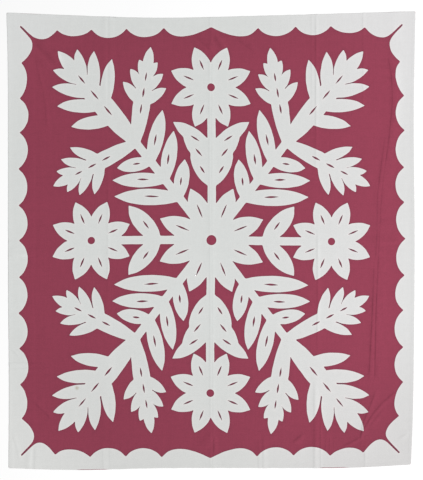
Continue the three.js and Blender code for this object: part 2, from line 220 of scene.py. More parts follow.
# Mottling and streaks of the cotton, as noise with scales per metre, and their weights in its unevenness
Noise = namedtuple("Noise", "scale detail")
Streak = namedtuple("Streak", "across along detail")
BROAD = Noise(2.4, 2.0)
MOTTLE = Noise(34.0, 4.0)
GRAIN = Noise(180.0, 3.0)
STAIN_RAGGED = Noise(160.0, 2.0)
SLUB = Streak(900.0, 14.0, 3.0)
STREAK = Streak(130.0, 5.0, 2.0)
SLUB_WEIGHT = 0.1
STREAK_WEIGHT = 0.1
GRAIN_WEIGHT = 0.4
MOTTLE_WEIGHT = 0.15
BROAD_WEIGHT = 0.05
UNEVEN_RANGE = (0.42, 0.58)

# Sockets of a mix node that carry colours
MIX_FACTOR = 0
MIX_LOW = 6
MIX_HIGH = 7
MIX_RESULT = 2

# Surface of the cotton
WEAVE_WAVE = {"Scale": 520.0, "Distortion": 0.6, "Detail": 1.0, "Detail Scale": 0.2}
WEAVE_HEIGHT = 0.12
WEAVE_STRENGTH = 0.5
SLUB_HEIGHT = 0.5
MOTTLE_RANGE = (0.3, 0.7)
COTTON_ROUGHNESS = (0.86, 0.97)
COTTON_SPECULAR = 0.1
COTTON_SHEEN = 0.04
COTTON_SHEEN_ROUGHNESS = 0.6

# Surface of the sewing thread
TWIST_WAVE = {"Scale": 900.0, "Distortion": 1.5, "Detail": 1.0}
TWIST_HEIGHT = 0.05
TWIST_STRENGTH = 0.4
TWIST_DARK = 0.9
TWIST_LIGHT = 1.05
THREAD_ROUGHNESS = (0.7, 0.85)
THREAD_SPECULAR = 0.2

# Studio, in metres, with the floor's drop and the camera's sensor in millimetres
FLOOR_SIZE = 60.0
FLOOR_DROP = 0.02
FLOOR_COLOUR = (0.886, 0.886, 0.886)
FLOOR_MOTTLE = Noise(1.6, 3.0)
FLOOR_DARK = 0.99
FLOOR_LIGHT = 1.01
FLOOR_ROUGHNESS = 0.9
FLOOR_SPECULAR = 0.05
KEY_PLACE = (17.0, -6.0, 12.0)
KEY_SIZE = 5.0
KEY_POWER = 4700.0
WORLD_COLOUR = (1.0, 1.0, 1.0)
WORLD_STRENGTH = 0.6
CAMERA_HEIGHT = 9.0
CAMERA_REACH = 200.0
SENSOR = 36.0

TOWARDS_LIGHT = np.array(KEY_PLACE[:2]) / math.hypot(*KEY_PLACE[:2])

# A soft ridge, or a trough where lift is negative, along a path, with the widths of the flank turned
# from the light and of the flank turned to it, and the length over which its ends die away.
# Lengths are in millimetres. Paths that run off the cloth keep their full height at its edge.
Crease = namedtuple("Crease", "path lift shaded lit fade")
CREASES = (
    # Pressed storage folds, as broad swells
    Crease(((-551, 1240), (-548, 0), (-553, -1240)), 0.5, 50, 50, 1),
    Crease(((0, 1240), (-3, 0), (3, -1240)), 0.6, 48, 48, 1),
    Crease(((561, 1240), (557, 0), (563, -1240)), 0.5, 50, 50, 1),
    Crease(((972, 1240), (968, 764), (908, 200), (866, -420), (823, -1240)), 0.8, 60, 60, 1),
    Crease(((-1110, -79), (0, -82), (1110, -76)), 0.5, 48, 48, 1),
    # Sharp lines of the left, middle and right storage folds
    Crease(((-560, 1420), (-561, 900), (-561, 640)), 0.7, 30, 10, 200),
    Crease(((-537, 1420), (-538, 900), (-538, 640)), 0.6, 9, 30, 200),
    Crease(((-549, 500), (-549, 0), (-552, -420)), 0.6, 7, 16, 200),
    Crease(((-541, -760), (-545, -1040), (-543, -1420)), -0.5, 10, 18, 160),
    Crease(((-6, 1420), (-8, 500), (-4, -300), (-2, -1420)), 0.55, 6, 14, 20),
    Crease(((9, 1420), (6, 500), (9, -300), (13, -1420)), 0.45, 6, 14, 20),
    Crease(((536, 1360), (537, 900), (539, 640)), 0.45, 8, 10, 200),
    Crease(((559, 1330), (559, 820), (557, 300)), 1.3, 7, 16, 250),
    Crease(((567, 80), (568, -300), (565, -600)), 1.2, 7, 16, 120),
    Crease(((554, -700), (554, -1000), (553, -1420)), 1.8, 13, 26, 150),
    Crease(((584, -860), (585, -1420)), 0.9, 6, 10, 120),
    # Double rib down the right side
    Crease(((938, 1010), (961, 881), (967, 748), (954, 588), (929, 390)), 2.3, 6, 70, 90),
    Crease(((940, 480), (913, 269), (896, -50)), 1.4, 6, 70, 90),
    Crease(((899, 20), (893, -90), (884, -300)), 1.8, 6, 70, 80),
    Crease(((887, -222), (881, -369), (873, -760)), 2.9, 6, 70, 80),
    Crease(((930, 560), (899, 330), (890, 240)), 1.8, 6, 30, 90),
    Crease(((899, 330), (891, 269), (881, -50), (866, -150)), 1.2, 6, 30, 90),
    Crease(((870, -110), (866, -222), (863, -300)), 1.5, 6, 30, 70),
    Crease(((866, -230), (861, -369), (841, -757)), 2.4, 6, 30, 70),
    # Cross folds at the left and right
    Crease(((-1086, -79), (-1000, -80), (-930, -81)), 2.0, 40, 7, 45),
    Crease(((-1086, -45), (-980, -46)), 0.9, 25, 12, 45),
    Crease(((-1090, -2), (-900, 0), (-700, 1)), 0.5, 8, 16, 110),
    Crease(((-1200, -654), (-990, -655), (-880, -657)), 1.3, 8, 25, 80),
    Crease(((-1080, -684), (-950, -684), (-830, -682)), 0.9, 9, 14, 60),
    Crease(((810, 91), (940, 92), (1030, 90)), 2.0, 40, 30, 80),
    Crease(((810, 0), (940, -2), (1040, 0)), 3.0, 50, 20, 80),
    Crease(((830, -62), (1000, -66)), 0.6, 15, 20, 60),
    # Upper left corner
    Crease(((-950, 1076), (-884, 1014), (-835, 972), (-775, 920)), 5.6, 24, 60, 95),
    Crease(((-965, 1024), (-900, 960), (-830, 890)), 2.4, 45, 22, 80),
    Crease(((-940, 1010), (-912, 880), (-888, 790), (-872, 640), (-866, 560)), 1.1, 10, 18, 90),
    Crease(((-935, 1105), (-932, 400), (-935, -300), (-931, -1030)), -0.6, 27, 11, 160),
    # Top middle and upper right
    Crease(((2, 1140), (0, 1040)), 1.0, 8, 12, 25),
    Crease(((-88, 1095), (-31, 1047), (20, 1003)), 3.6, 14, 46, 50),
    Crease(((-95, 1068), (-47, 1027), (-10, 995)), 1.8, 36, 14, 40),
    Crease(((12, 1110), (55, 1052), (88, 1008)), 4.2, 31, 15, 50),
    Crease(((126, 1083), (191, 1038), (252, 997)), 3.6, 12, 34, 55),
    Crease(((809, 1320), (811, 900), (808, 650)), 0.8, 8, 14, 110),
    Crease(((822, 1120), (823, 960), (821, 880)), 0.6, 6, 6, 60),
    Crease(((117, 470), (180, 432), (246, 390)), 1.2, 9, 14, 40),
    # Lower left
    Crease(((-950, -850), (-905, -890), (-838, -956)), 2.4, 9, 18, 40),
    Crease(((-1074, -560), (-1040, -596), (-1010, -622)), 0.8, 9, 15, 30),
    Crease(((-1060, -1010), (-1030, -1100), (-1015, -1190)), 0.8, 12, 20, 50),
    Crease(((-575, -1040), (-570, -1420)), 0.6, 8, 14, 50),
    Crease(((-1058, -1040), (-1056, -1160), (-1061, -1300)), 0.6, 30, 12, 60),
    Crease(((-958, -1080), (-964, -1150), (-968, -1300)), 1.3, 30, 14, 40),
    Crease(((-928, -1080), (-933, -1150), (-935, -1300)), 0.8, 12, 30, 40),
    # Bottom edge
    Crease(((-84, -1112), (-37, -1075), (25, -1020)), 4.0, 36, 50, 50),
    Crease(((18, -1030), (19, -1150)), 2.4, 7, 24, 30),
    Crease(((255, -1030), (255, -1420)), 0.9, 9, 30, 60),
    Crease(((282, -1020), (281, -1420)), 1.5, 12, 24, 60),
    Crease(((425, -1085), (462, -1056), (500, -1030)), 2.8, 14, 24, 30),
    Crease(((612, -1040), (611, -1125)), 0.7, 6, 9, 25),
    Crease(((634, -1035), (632, -1130)), 0.8, 6, 9, 25),
    Crease(((656, -1040), (655, -1120)), 0.7, 6, 9, 25),
    Crease(((819, -1060), (822, -1420)), 1.0, 8, 14, 50),
    # Lower right corner, where the ground is drawn into a fan
    Crease(((990, -800), (903, -877), (851, -944), (806, -1020), (792, -1060)), 2.6, 9, 20, 50),
    Crease(((885, -780), (872, -821), (837, -910), (808, -985), (797, -1080)), 2.0, 8, 18, 60),
    Crease(((925, -895), (885, -940), (838, -1000)), 1.6, 12, 20, 35),
    Crease(((690, -1100), (745, -1078), (812, -1040)), 2.8, 10, 16, 40),
    Crease(((990, -1065), (1060, -1020)), 0.9, 12, 20, 30),
)

# Stretches of the outer edge where the red ground shows past the border
Reveal = namedtuple("Reveal", "side start end width")
REVEALS = (
    Reveal("left", -1180, 60, 0.6),
    Reveal("top", -1040, -890, 0.9),
    Reveal("top", 900, 1060, 0.6),
    Reveal("bottom", -730, -530, 2.6),
    Reveal("bottom", 560, 745, 2.8),
)


def waves(points, length, seed):
    """Smooth unevenness from about -1 to 1 with the given wavelength."""
    draw = np.random.default_rng(seed)
    total = np.zeros(len(points))
    for turn in draw.uniform(0, math.pi, WAVE_COUNT):
        pitch = length * draw.uniform(*WAVE_PITCHES)
        phase = draw.uniform(0, 2 * math.pi)
        across = points[:, 0] * math.cos(turn) + points[:, 1] * math.sin(turn)
        total += np.sin(2 * math.pi * across / pitch + phase)
    return total / math.sqrt(WAVE_COUNT) / WAVE_PEAK


def eased(t):
    """Smooth step from 0 to 1."""
    t = np.clip(t, 0, 1)
    return t * t * (3 - 2 * t)


def span_points(before, start, end, after, count):
    """Points from start up to, but not including, end on a centripetal curve."""
    knots = [0.0]
    for a, b in ((before, start), (start, end), (end, after)):
        knots.append(knots[-1] + max(math.sqrt(math.dist(a, b)), SHORTEST_KNOT))
    t0, t1, t2, t3 = knots
    t = np.linspace(t1, t2, count, endpoint=False)[:, None]
    a1 = before * (t1 - t) / (t1 - t0) + start * (t - t0) / (t1 - t0)
    a2 = start * (t2 - t) / (t2 - t1) + end * (t - t1) / (t2 - t1)
    a3 = end * (t3 - t) / (t3 - t2) + after * (t - t2) / (t3 - t2)
    b1 = a1 * (t2 - t) / (t2 - t0) + a2 * (t - t0) / (t2 - t0)
    b2 = a2 * (t3 - t) / (t3 - t1) + a3 * (t - t1) / (t3 - t1)
    return b1 * (t2 - t) / (t2 - t1) + b2 * (t - t1) / (t2 - t1)


def smooth_line(points, step):
    """Points about one step apart on a smooth open line through the given points."""
    points = np.asarray(points, float)
    first = 2 * points[0] - points[1]
    last = 2 * points[-1] - points[-2]
    padded = np.vstack([first, points, last])
    spans = []
    for i in range(1, len(padded) - 2):
        count = max(1, round(math.dist(padded[i], padded[i + 1]) / step))
        spans.append(span_points(*padded[i - 1:i + 3], count))
    return np.vstack([*spans, points[-1:]])


def turns(loop):
    """How far a closed line turns at each of its points, in radians."""
    ahead = np.roll(loop, -1, 0) - loop
    behind = loop - np.roll(loop, 1, 0)
    cross = behind[:, 0] * ahead[:, 1] - behind[:, 1] * ahead[:, 0]
    return np.arctan2(cross, (behind * ahead).sum(1))


def without_straight_points(loop):
    """The closed line without the points that lie on the line between their neighbours."""
    kept = list(map(tuple, loop))
    i = 0
    while i < len(kept):
        before, here, after = kept[i - 1], kept[i], kept[(i + 1) % len(kept)]
        chord = (after[0] - before[0], after[1] - before[1])
        offset = (here[0] - before[0], here[1] - before[1])
        length = math.hypot(*chord)
        if length and abs(chord[0] * offset[1] - chord[1] * offset[0]) / length < STRAIGHT_WITHIN:
            kept.pop(i)
        else:
            i += 1
    return np.array(kept)


def slit_end(start, end):
    """Points round the end of a slit, from one of its sides to the other."""
    turn = np.linspace(0, math.pi, SLIT_END_POINTS)[:, None]
    across = end - start
    onward = np.array([-across[1], across[0]])
    return start + across * (1 - np.cos(turn)) / 2 + onward * SLIT_END_BULGE * np.sin(turn)


def closed_line(loop, step):
    """Points about one step apart on a smooth closed line without corners."""
    line = smooth_line(np.vstack([loop[-2:], loop, loop[:3]]), step)
    start = np.argmin(np.linalg.norm(line - loop[0], axis=1))
    once_round = start + len(loop)
    end = once_round + np.argmin(np.linalg.norm(line[once_round:] - loop[0], axis=1))
    return line[start:end]


def cornered_line(loop, corners, step):
    """Points about one step apart on a closed line with corners, rounded at the ends of slits."""
    loop = np.roll(loop, -corners[0], 0)
    stops = [*(corners - corners[0]), len(loop)]
    closed = np.vstack([loop, loop[:1]])
    bend = turns(loop)
    bend = np.append(bend, bend[0])
    runs = []
    for a, b in zip(stops, stops[1:]):
        if b == a + 1 and max(bend[a], bend[b]) < 0 and math.dist(closed[a], closed[b]) < SLIT_END:
            run = slit_end(closed[a], closed[b])
        else:
            run = smooth_line(closed[a:b + 1], step)
        runs.append(run[:-1])
    return np.vstack(runs)


def outline(loop, step):
    """A sewn outline: smooth between its corners, with softened corners and a little hand drift."""
    loop = without_straight_points(loop)
    corners = np.flatnonzero(np.abs(turns(loop)) > CORNER_TURN)
    line = cornered_line(loop, corners, step) if len(corners) else closed_line(loop, step)
    line = (np.roll(line, 1, 0) + 2 * line + np.roll(line, -1, 0)) / 4
    drift = HAND_DRIFT * waves(line, HAND_DRIFT_LENGTH, HAND_DRIFT_SEED)
    if len(corners):
        away = np.linalg.norm(line[:, None] - loop[corners][None], axis=2).min(1)
        drift *= eased(away / CORNER_REACH)
    return line + inward(line) * drift[:, None]


def left_of(along):
    """Unit vectors that point to the left of some headings."""
    left = np.stack([-along[:, 1], along[:, 0]], 1)
    return left / np.maximum(np.linalg.norm(left, axis=1), TINY)[:, None]


def inward(line):
    """Unit normals of a closed outline, pointing into the cloth."""
    return left_of(np.roll(line, -1, 0) - np.roll(line, 1, 0))


def upper_loops(node):
    """Closed outlines of a CAD sheet's upper face in millimetres, the longest first."""
    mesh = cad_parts[node].data
    places = [tuple(round(c / MM, PLACE_DECIMALS) for c in v.co) for v in mesh.vertices]
    open_edges = {}
    for face in mesh.polygons:
        if face.normal.z < UPPER_FACE:
            continue
        around = [places[i] for i in face.vertices]
        for a, b in zip(around, around[1:] + around[:1]):
            if (b, a) in open_edges:
                del open_edges[b, a]
            else:
                open_edges[a, b] = True
    after = dict(open_edges.keys())
    loops = []
    while after:
        start, here = after.popitem()
        loop = [start]
        while here != start:
            loop.append(here)
            here = after.pop(here)
        loops.append(np.array(loop)[:, :2])
    return sorted((loop for loop in loops if area_of(loop) > SMALLEST_LOOP), key=len, reverse=True)


def area_of(loop):
    """Plan area inside a closed line, in square millimetres."""
    ahead = np.roll(loop, -1, 0)
    return abs((loop[:, 0] * ahead[:, 1] - loop[:, 1] * ahead[:, 0]).sum()) / 2


class Nearest:
    """Distances to a set of closed outlines."""

    def __init__(self, lines):
        parts = [in_thirds(line) for line in lines]
        points = np.vstack([places for places, _ in parts])
        self.lengths = np.concatenate([lengths for _, lengths in parts])
        self.tree = KDTree(len(points))
        for i, (x, y) in enumerate(points):
            self.tree.insert((x, y, 0), i)
        self.tree.balance()

    def distance(self, points):
        """Distance from each point to the nearest point of an outline."""
        return np.array([self.tree.find((x, y, 0))[2] for x, y in points])

    def length_within(self, point, reach):
        """Length of outline within reach of a point."""
        return sum(self.lengths[i] for _, i, _ in self.tree.find_range((*point, 0), reach))


def in_thirds(line):
    """(points, lengths) of a closed outline with each of its edges cut in three."""
    ahead = np.roll(line, -1, 0)
    points = np.vstack([line, line * 2 / 3 + ahead / 3, line / 3 + ahead * 2 / 3])
    return points, np.tile(np.linalg.norm(ahead - line, axis=1) / 3, 3)


def is_line(crease):
    """Whether a crease is a sharp line, not a broad swell."""
    return min(crease.shaded, crease.lit) <= WIDEST_LINE


def crease_profile(crease, points):
    """Each point's share, from 0 to 1, of a crease's lift."""
    line = smooth_line(crease.path, CREASE_PATH_STEP)
    share = np.zeros(len(points))
    reach = max(crease.shaded, crease.lit)
    low = line.min(0) - reach
    high = line.max(0) + reach
    near = np.flatnonzero(((points > low) & (points < high)).all(1))
    if len(near) == 0:
        return share
    start, step = line[:-1], np.diff(line, axis=0)
    length = np.linalg.norm(step, axis=1)
    run_before = np.concatenate([[0], np.cumsum(length)[:-1]])
    offset = points[near, None, :] - start[None]
    t = np.clip((offset * step).sum(2) / length**2, 0, 1)
    gap = np.linalg.norm(offset - t[..., None] * step, axis=2)
    best = gap.argmin(1)
    rows = np.arange(len(near))
    run = run_before[best] + t[rows, best] * length[best]
    beside = (offset[rows, best] - t[rows, best, None] * step[best]) @ TOWARDS_LIGHT
    width = np.where(beside * crease.lift > 0, crease.lit, crease.shaded)
    across = 0.5 + 0.5 * np.cos(math.pi * np.clip(gap[rows, best] / width, 0, 1))
    ends = eased(run / crease.fade) * eased((length.sum() - run) / crease.fade)
    slow = np.sin(run / CREASE_SLOW_WAVE + line[0, 0])
    quick = np.sin(run / CREASE_QUICK_WAVE + line[0, 1])
    uneven = 1 - CREASE_WAVINESS + CREASE_WAVINESS * slow * quick
    share[near] = across * ends * uneven
    return share


def laid_height(points, seam_distance):
    """(height of the laid cloth's underside, height of its sharp creases alone), in millimetres."""
    lying = eased(ground_edge.distance(points) / EDGE_LYING)
    near_seam = np.exp(-((seam_distance / PUCKER_REACH) ** 2))
    height = UNDULATION * (1 + waves(points, UNDULATION_LENGTH, UNDULATION_SEED)) * lying
    height += RUMPLE * waves(points, RUMPLE_LENGTH, RUMPLE_SEED)
    height += PUCKER * waves(points, PUCKER_LENGTH, PUCKER_SEED) * near_seam
    lines = np.zeros(len(points))
    for crease in CREASES:
        lift = crease.lift * crease_profile(crease, points)
        height += lift
        if is_line(crease):
            lines += lift
    return np.maximum(height, 0), lines


def crease_points():
    """Points that follow the sharp creases closely enough to shape them."""
    found = []
    for crease in filter(is_line, CREASES):
        line = smooth_line(crease.path, CREASE_STATION)
        across = left_of(np.gradient(line, axis=0))
        across *= np.sign(across @ TOWARDS_LIGHT * crease.lift)[:, None]
        found.append(line)
        found += [line + across * crease.lit * share for share in FLANK_SHARES]
        found += [line - across * crease.shaded * share for share in FLANK_SHARES]
    return np.vstack(found)


def grid_points(lines, step):
    """A grid over the box of some outlines, every other row shifted by half a step."""
    low = np.vstack(lines).min(0)
    high = np.vstack(lines).max(0)
    rows = []
    for i, y in enumerate(np.arange(low[1] + step / 2, high[1], step)):
        x = np.arange(low[0] + step * (0.5 if i % 2 else 1.0), high[0], step)
        rows.append(np.stack([x, np.full(len(x), y)], 1))
    return np.vstack(rows)


def ring_points(lines, rings, nearest):
    """Points at set distances inside each outline and round its tips, without those nearer to an edge."""
    found = []
    around = np.arange(TIP_POINTS) * 2 * math.pi / TIP_POINTS
    around = np.stack([np.cos(around), np.sin(around)], 1)
    for line, distances in zip(lines, rings):
        normal = inward(line)
        tips = line[np.abs(turns(line)) > CORNER_TURN]
        for distance in distances:
            ring = line + normal * distance
            if distance < TIP_REACH:
                ring = np.vstack([ring, (tips[:, None] + around * distance).reshape(-1, 2)])
            found.append(ring[nearest.distance(ring) > RING_SHARE * distance])
    return apart(np.vstack(found), RING_SPACING)


def apart(points, spacing):
    """The points without those that crowd an earlier one."""
    taken = set()
    kept = []
    for point in points:
        cell = (math.floor(point[0] / spacing), math.floor(point[1] / spacing))
        if cell not in taken:
            taken.add(cell)
            kept.append(point)
    return np.array(kept)


def inside(points, lines):
    """Which points lie in the cloth, from how many outlines the row to their right crosses."""
    start = np.vstack(lines)
    end = np.vstack([np.roll(line, -1, 0) for line in lines])
    low = np.minimum(start[:, 1], end[:, 1])
    high = np.maximum(start[:, 1], end[:, 1])
    band = np.floor(points[:, 1] / BAND_HEIGHT).astype(int)
    found = np.zeros(len(points), bool)
    for row in np.unique(band):
        here = np.flatnonzero(band == row)
        near = (low < (row + 1) * BAND_HEIGHT) & (high >= row * BAND_HEIGHT)
        a, b = start[near], end[near]
        x, y = points[here, 0, None], points[here, 1, None]
        passed = (a[:, 1] > y) != (b[:, 1] > y)
        rise = np.where(a[:, 1] == b[:, 1], 1, b[:, 1] - a[:, 1])
        crossing = a[:, 0] + (y - a[:, 1]) * (b[:, 0] - a[:, 0]) / rise
        found[here] = (passed & (crossing > x)).sum(1) % 2 == 1
    return found


def filled(lines, inner):
    """Triangles that fill the outlines: (inner points used, faces). Outline points come first."""
    edges = []
    first = 0
    for line in lines:
        count = len(line)
        edges += [(first + i, first + (i + 1) % count) for i in range(count)]
        first += count
    points = [Vector(p) for p in np.vstack([*lines, inner])]
    found, _, faces, sources, _, _ = delaunay_2d_cdt(points, edges, [], INSIDE_TRIANGLES, NEARNESS)
    faces = np.array(faces)
    faces = faces[inside(np.array(found)[faces].mean(1), lines)]
    number = {}
    extra = []
    for i in np.unique(faces):
        outline_sources = [s for s in sources[i] if s < first]
        if outline_sources:
            number[i] = outline_sources[0]
        else:
            number[i] = first + len(extra)
            extra.append(tuple(found[i]))
    return np.array(extra), [[number[i] for i in face] for face in faces]


def placed(name, data):
    """A new object in the scene."""
    made = bpy.data.objects.new(name, data)
    bpy.context.scene.collection.objects.link(made)
    return made


def sheet_object(name, lines, top_inner, under_inner, heights):
    """A closed thin sheet. heights(points) gives (underside, edge, top) and the named attributes."""
    rim = np.vstack(lines)
    upper, upper_faces = filled(lines, top_inner)
    lower, lower_faces = filled(lines, under_inner)
    plan = np.vstack([rim, upper, lower])
    (under, edge, top), attributes = heights(plan)
    upper_end = len(rim) + len(upper)
    z = np.concatenate([edge[:len(rim)], top[len(rim):upper_end], under[upper_end:]])
    lowered = [[i if i < len(rim) else i + len(upper) for i in reversed(face)] for face in lower_faces]
    mesh = bpy.data.meshes.new(name)
    mesh.from_pydata(np.column_stack([plan, z]) * MM, [], upper_faces + lowered)
    mesh.validate()
    mesh.shade_smooth()
    for key, values in attributes.items():
        mesh.attributes.new(key, "FLOAT", "POINT").data.foreach_set("value", values.astype(np.float32))
    return placed(name, mesh)


def shown_past(point):
    """How much red ground shows past the border's outer edge near a point."""
    x, y = point
    reach = {
        "left": (-cad_low.x / MM + x, y),
        "right": (cad_high.x / MM - x, y),
        "top": (cad_high.y / MM - y, x),
        "bottom": (-cad_low.y / MM + y, x),
    }
    side = min(reach, key=lambda s: reach[s][0])
    place = reach[side][1]
    shown = HIDDEN_REVEAL
    for reveal in REVEALS:
        if reveal.side == side:
            depth = min(place - reveal.start, reveal.end - place)
            shown += (reveal.width - HIDDEN_REVEAL) * eased(depth / REVEAL_FADE)
    return shown


def border_outer_edge(loop):
    """The border's outer outline, drawn back where the ground shows past it."""
    line = outline(loop, EDGE_STEP)
    shown = np.array([shown_past(p) for p in line])
    return line - inward(line) * (CAD_REVEAL - shown)[:, None]


def turned_edge(distance):
    """Height of a turned edge over its underside at a distance from the edge."""
    curve = np.clip(1 - distance / TURN_RADIUS, 0, 1)
    fold = APPLIQUE_THICKNESS * np.sqrt(1 - curve**2)
    gone = eased(distance / ALLOWANCE_WIDTH - ALLOWANCE_FALL)
    return fold + ALLOWANCE_BULGE * (eased(distance / TURN_RADIUS) - gone)


ground_lines = [outline(loop, EDGE_STEP) for loop in upper_loops("ground_cloth")]
border_loops = upper_loops("border_applique")
border_loops.sort(key=lambda loop: np.abs(loop).max(), reverse=True)
border_lines = [border_outer_edge(border_loops[0])]
border_lines += [outline(loop, APPLIQUE_STEP) for loop in border_loops[1:]]
centre_lines = [outline(loop, APPLIQUE_STEP) for loop in upper_loops("centre_applique")]
sewn_lines = border_lines[1:] + centre_lines

ground_edge = Nearest(ground_lines)
hem_edge = Nearest(border_lines[:1])
seam = Nearest(sewn_lines)
crease_mesh = crease_points()


def ground_heights(points):
    """Heights and marks of the ground, which lies lower where a white piece covers it; its marks carry
    painted shade.
    """
    seam_distance = seam.distance(points)
    under, lines = laid_height(points, seam_distance)
    sewn_over = inside(points, border_lines + centre_lines)
    covered = sewn_over * eased((seam_distance - COVER_INSET) / COVER_FADE)
    under = np.maximum(under - covered * (COVER_SINK + COVER_SHARE * np.maximum(lines, 0)), 0)
    top = under + GROUND_THICKNESS
    # Painted shade in the narrow gaps of the cut-out, from the length of seam within reach of each point
    narrow = np.zeros(len(points))
    for i in np.flatnonzero(seam_distance < NARROW_REACH):
        narrow[i] = seam.length_within(points[i], NARROW_REACH)
    narrow = eased((narrow - NARROW_RANGE[0]) / (NARROW_RANGE[1] - NARROW_RANGE[0]))
    # seam and crease carry the painted shade beside the seams and along the creases, narrow the painted
    # shade in the gaps
    attributes = {"seam": np.exp(-((seam_distance / SEAM_REACH) ** 2)), "crease": lines, "narrow": narrow}
    return (under, under + GROUND_THICKNESS / 2, top), attributes


def applique_heights(points):
    """Heights and marks of a white piece, with its turned edge and, along the outer edge, its hem."""
    seam_distance = seam.distance(points)
    hem_distance = hem_edge.distance(points)
    laid, lines = laid_height(points, seam_distance)
    under = laid + GROUND_THICKNESS + LAYER_GAP
    rise = turned_edge(np.minimum(seam_distance, hem_distance))
    hem = HEM_BULGE * (1 - eased((hem_distance - HEM_WIDTH) / HEM_STEP + 0.5))
    top = under + rise + hem * eased(hem_distance / TURN_RADIUS)
    attributes = {"seam": 1 - eased(seam_distance / ALLOWANCE_WIDTH - SEAM_MARK_FALL), "crease": lines}
    return (under, under + RIM_HEIGHT, top), attributes


def clear_of(points, nearest, distance):
    """The points farther than a distance from some outlines."""
    return points[nearest.distance(points) > distance]


def ground_sheet():
    """The red ground, with closer mesh points beside the seams of the white pieces."""
    seam_rows = np.vstack([line - inward(line) * d for line in sewn_lines for d in SEAM_RINGS])
    rings = ring_points(ground_lines, [GROUND_RINGS] * len(ground_lines), ground_edge)
    field = np.vstack([crease_mesh, grid_points(ground_lines, GROUND_GRID)])
    field = clear_of(field, ground_edge, GROUND_RINGS[-1] + FIELD_CLEARANCE)
    inner = apart(np.vstack([rings, seam_rows, field]), TOP_SPACING)
    under_inner = apart(field, GROUND_UNDER_SPACING)
    return sheet_object("ground_sheet", ground_lines, inner, under_inner, ground_heights)


def applique_sheet(name, lines, rings):
    """A white piece, with rows of mesh points at the given distances from each of its outlines."""
    own_edge = Nearest(lines)
    folds = clear_of(crease_mesh, own_edge, CREASE_CLEARANCE)
    grid = clear_of(grid_points(lines, APPLIQUE_GRID), own_edge, ALLOWANCE_WIDTH + FIELD_CLEARANCE)
    field = np.vstack([folds, grid])
    inner = np.vstack([ring_points(lines, rings, own_edge), apart(field, TOP_SPACING)])
    return sheet_object(name, lines, inner, apart(field, APPLIQUE_UNDER_SPACING), applique_heights)


def evenly(line, spacing, draw):
    """(points, inward normals) about a spacing apart along a closed outline."""
    closed = np.vstack([line, line[:1]])
    run = np.concatenate([[0], np.cumsum(np.linalg.norm(np.diff(closed, axis=0), axis=1))])
    stops = np.arange(0, run[-1] - spacing / 2, spacing)
    stops = stops + draw.uniform(-STITCH_JITTER, STITCH_JITTER, len(stops)) * spacing
    stops = np.clip(stops, 0, run[-1])
    runs = (stops, np.minimum(stops + HEADING_REACH, run[-1]), np.maximum(stops - HEADING_REACH, 0))
    points, ahead, behind = [np.stack([np.interp(r, run, closed[:, k]) for k in (0, 1)], 1) for r in runs]
    return points, left_of(ahead - behind)


def seam_stitches(lines, draw):
    """Places and headings of the small slanted stitches that hold a turned edge down."""
    places, headings = [], []
    for line in lines:
        points, normal = evenly(line, STITCH_SPACING, draw)
        lean = STITCH_LEAN + draw.normal(0, STITCH_LEAN_SPREAD, len(points))
        turned = np.stack([-normal[:, 1], normal[:, 0]], 1)
        places.append(points + normal * STITCH_INSET)
        headings.append(normal * np.cos(lean)[:, None] + turned * np.sin(lean)[:, None])
    return np.vstack(places), np.vstack(headings)


def hem_stitches(line, draw):
    """Places and headings of the running stitches along the hem."""
    points, normal = evenly(line, HEM_STITCH_SPACING, draw)
    along = np.stack([normal[:, 1], -normal[:, 0]], 1)
    places = points + normal * HEM_WIDTH
    within = hem_edge.distance(places) > HEM_STITCH_CLEARANCE
    return places[within], along[within]


def stitch_object(name, groups):
    """One mesh of small thread beads. Each group is (places, headings, half sizes)."""
    corners, faces = [], []
    for places, headings, (half_length, half_width, half_height) in groups:
        (_, _, top), _ = applique_heights(places)
        middle = np.column_stack([places, top])
        flat = np.zeros(len(places))
        along = np.column_stack([headings, flat]) * half_length
        across = np.column_stack([-headings[:, 1], headings[:, 0], flat]) * half_width
        up = np.column_stack([flat, flat, flat + half_height])
        first = sum(map(len, corners)) + BEAD_CORNERS * np.arange(len(places))
        ends = [middle + along, middle - along, middle + across, middle - across, middle + up, middle - up]
        corners.append(np.stack(ends, 1).reshape(-1, 3))
        faces.append((first[:, None, None] + np.array(BEAD_FACES)).reshape(-1, 3))
    mesh = bpy.data.meshes.new(name)
    mesh.from_pydata(np.vstack(corners) * MM, [], np.vstack(faces).tolist())
    mesh.shade_smooth()
    return placed(name, mesh)


def add(tree, kind, inputs=None, **settings):
    """A new shader node with its settings and the values or links of its inputs."""
    made = tree.nodes.new(kind)
    for key, value in settings.items():
        setattr(made, key, value)
    for key, value in (inputs or {}).items():
        if isinstance(value, bpy.types.NodeSocket):
            tree.links.new(value, made.inputs[key])
        else:
            made.inputs[key].default_value = value
    return made


def mixed(tree, factor, low, high, blend="MIX"):
    """A colour between low and high by a factor."""
    inputs = {MIX_FACTOR: factor, MIX_LOW: low, MIX_HIGH: high}
    return add(tree, "ShaderNodeMix", inputs, data_type="RGBA", blend_type=blend).outputs[MIX_RESULT]


def combined(tree, operation, a, b):
    """One arithmetic step."""
    return add(tree, "ShaderNodeMath", {0: a, 1: b}, operation=operation).outputs[0]


def ranged(tree, value, low, high, to_low, to_high):
    """A value carried from one range to another, and held at its ends."""
    inputs = {"Value": value, "From Min": low, "From Max": high, "To Min": to_low, "To Max": to_high}
    return add(tree, "ShaderNodeMapRange", inputs).outputs[0]


def noise(tree, place, kind):
    """Smooth noise of one kind."""
    inputs = {"Vector": place, "Scale": kind.scale, "Detail": kind.detail}
    return add(tree, "ShaderNodeTexNoise", inputs).outputs[0]


def stretched(tree, place, scale):
    """Coordinates scaled unevenly, for streaks along one thread direction."""
    return add(tree, "ShaderNodeMapping", {"Vector": place, "Scale": scale}).outputs[0]


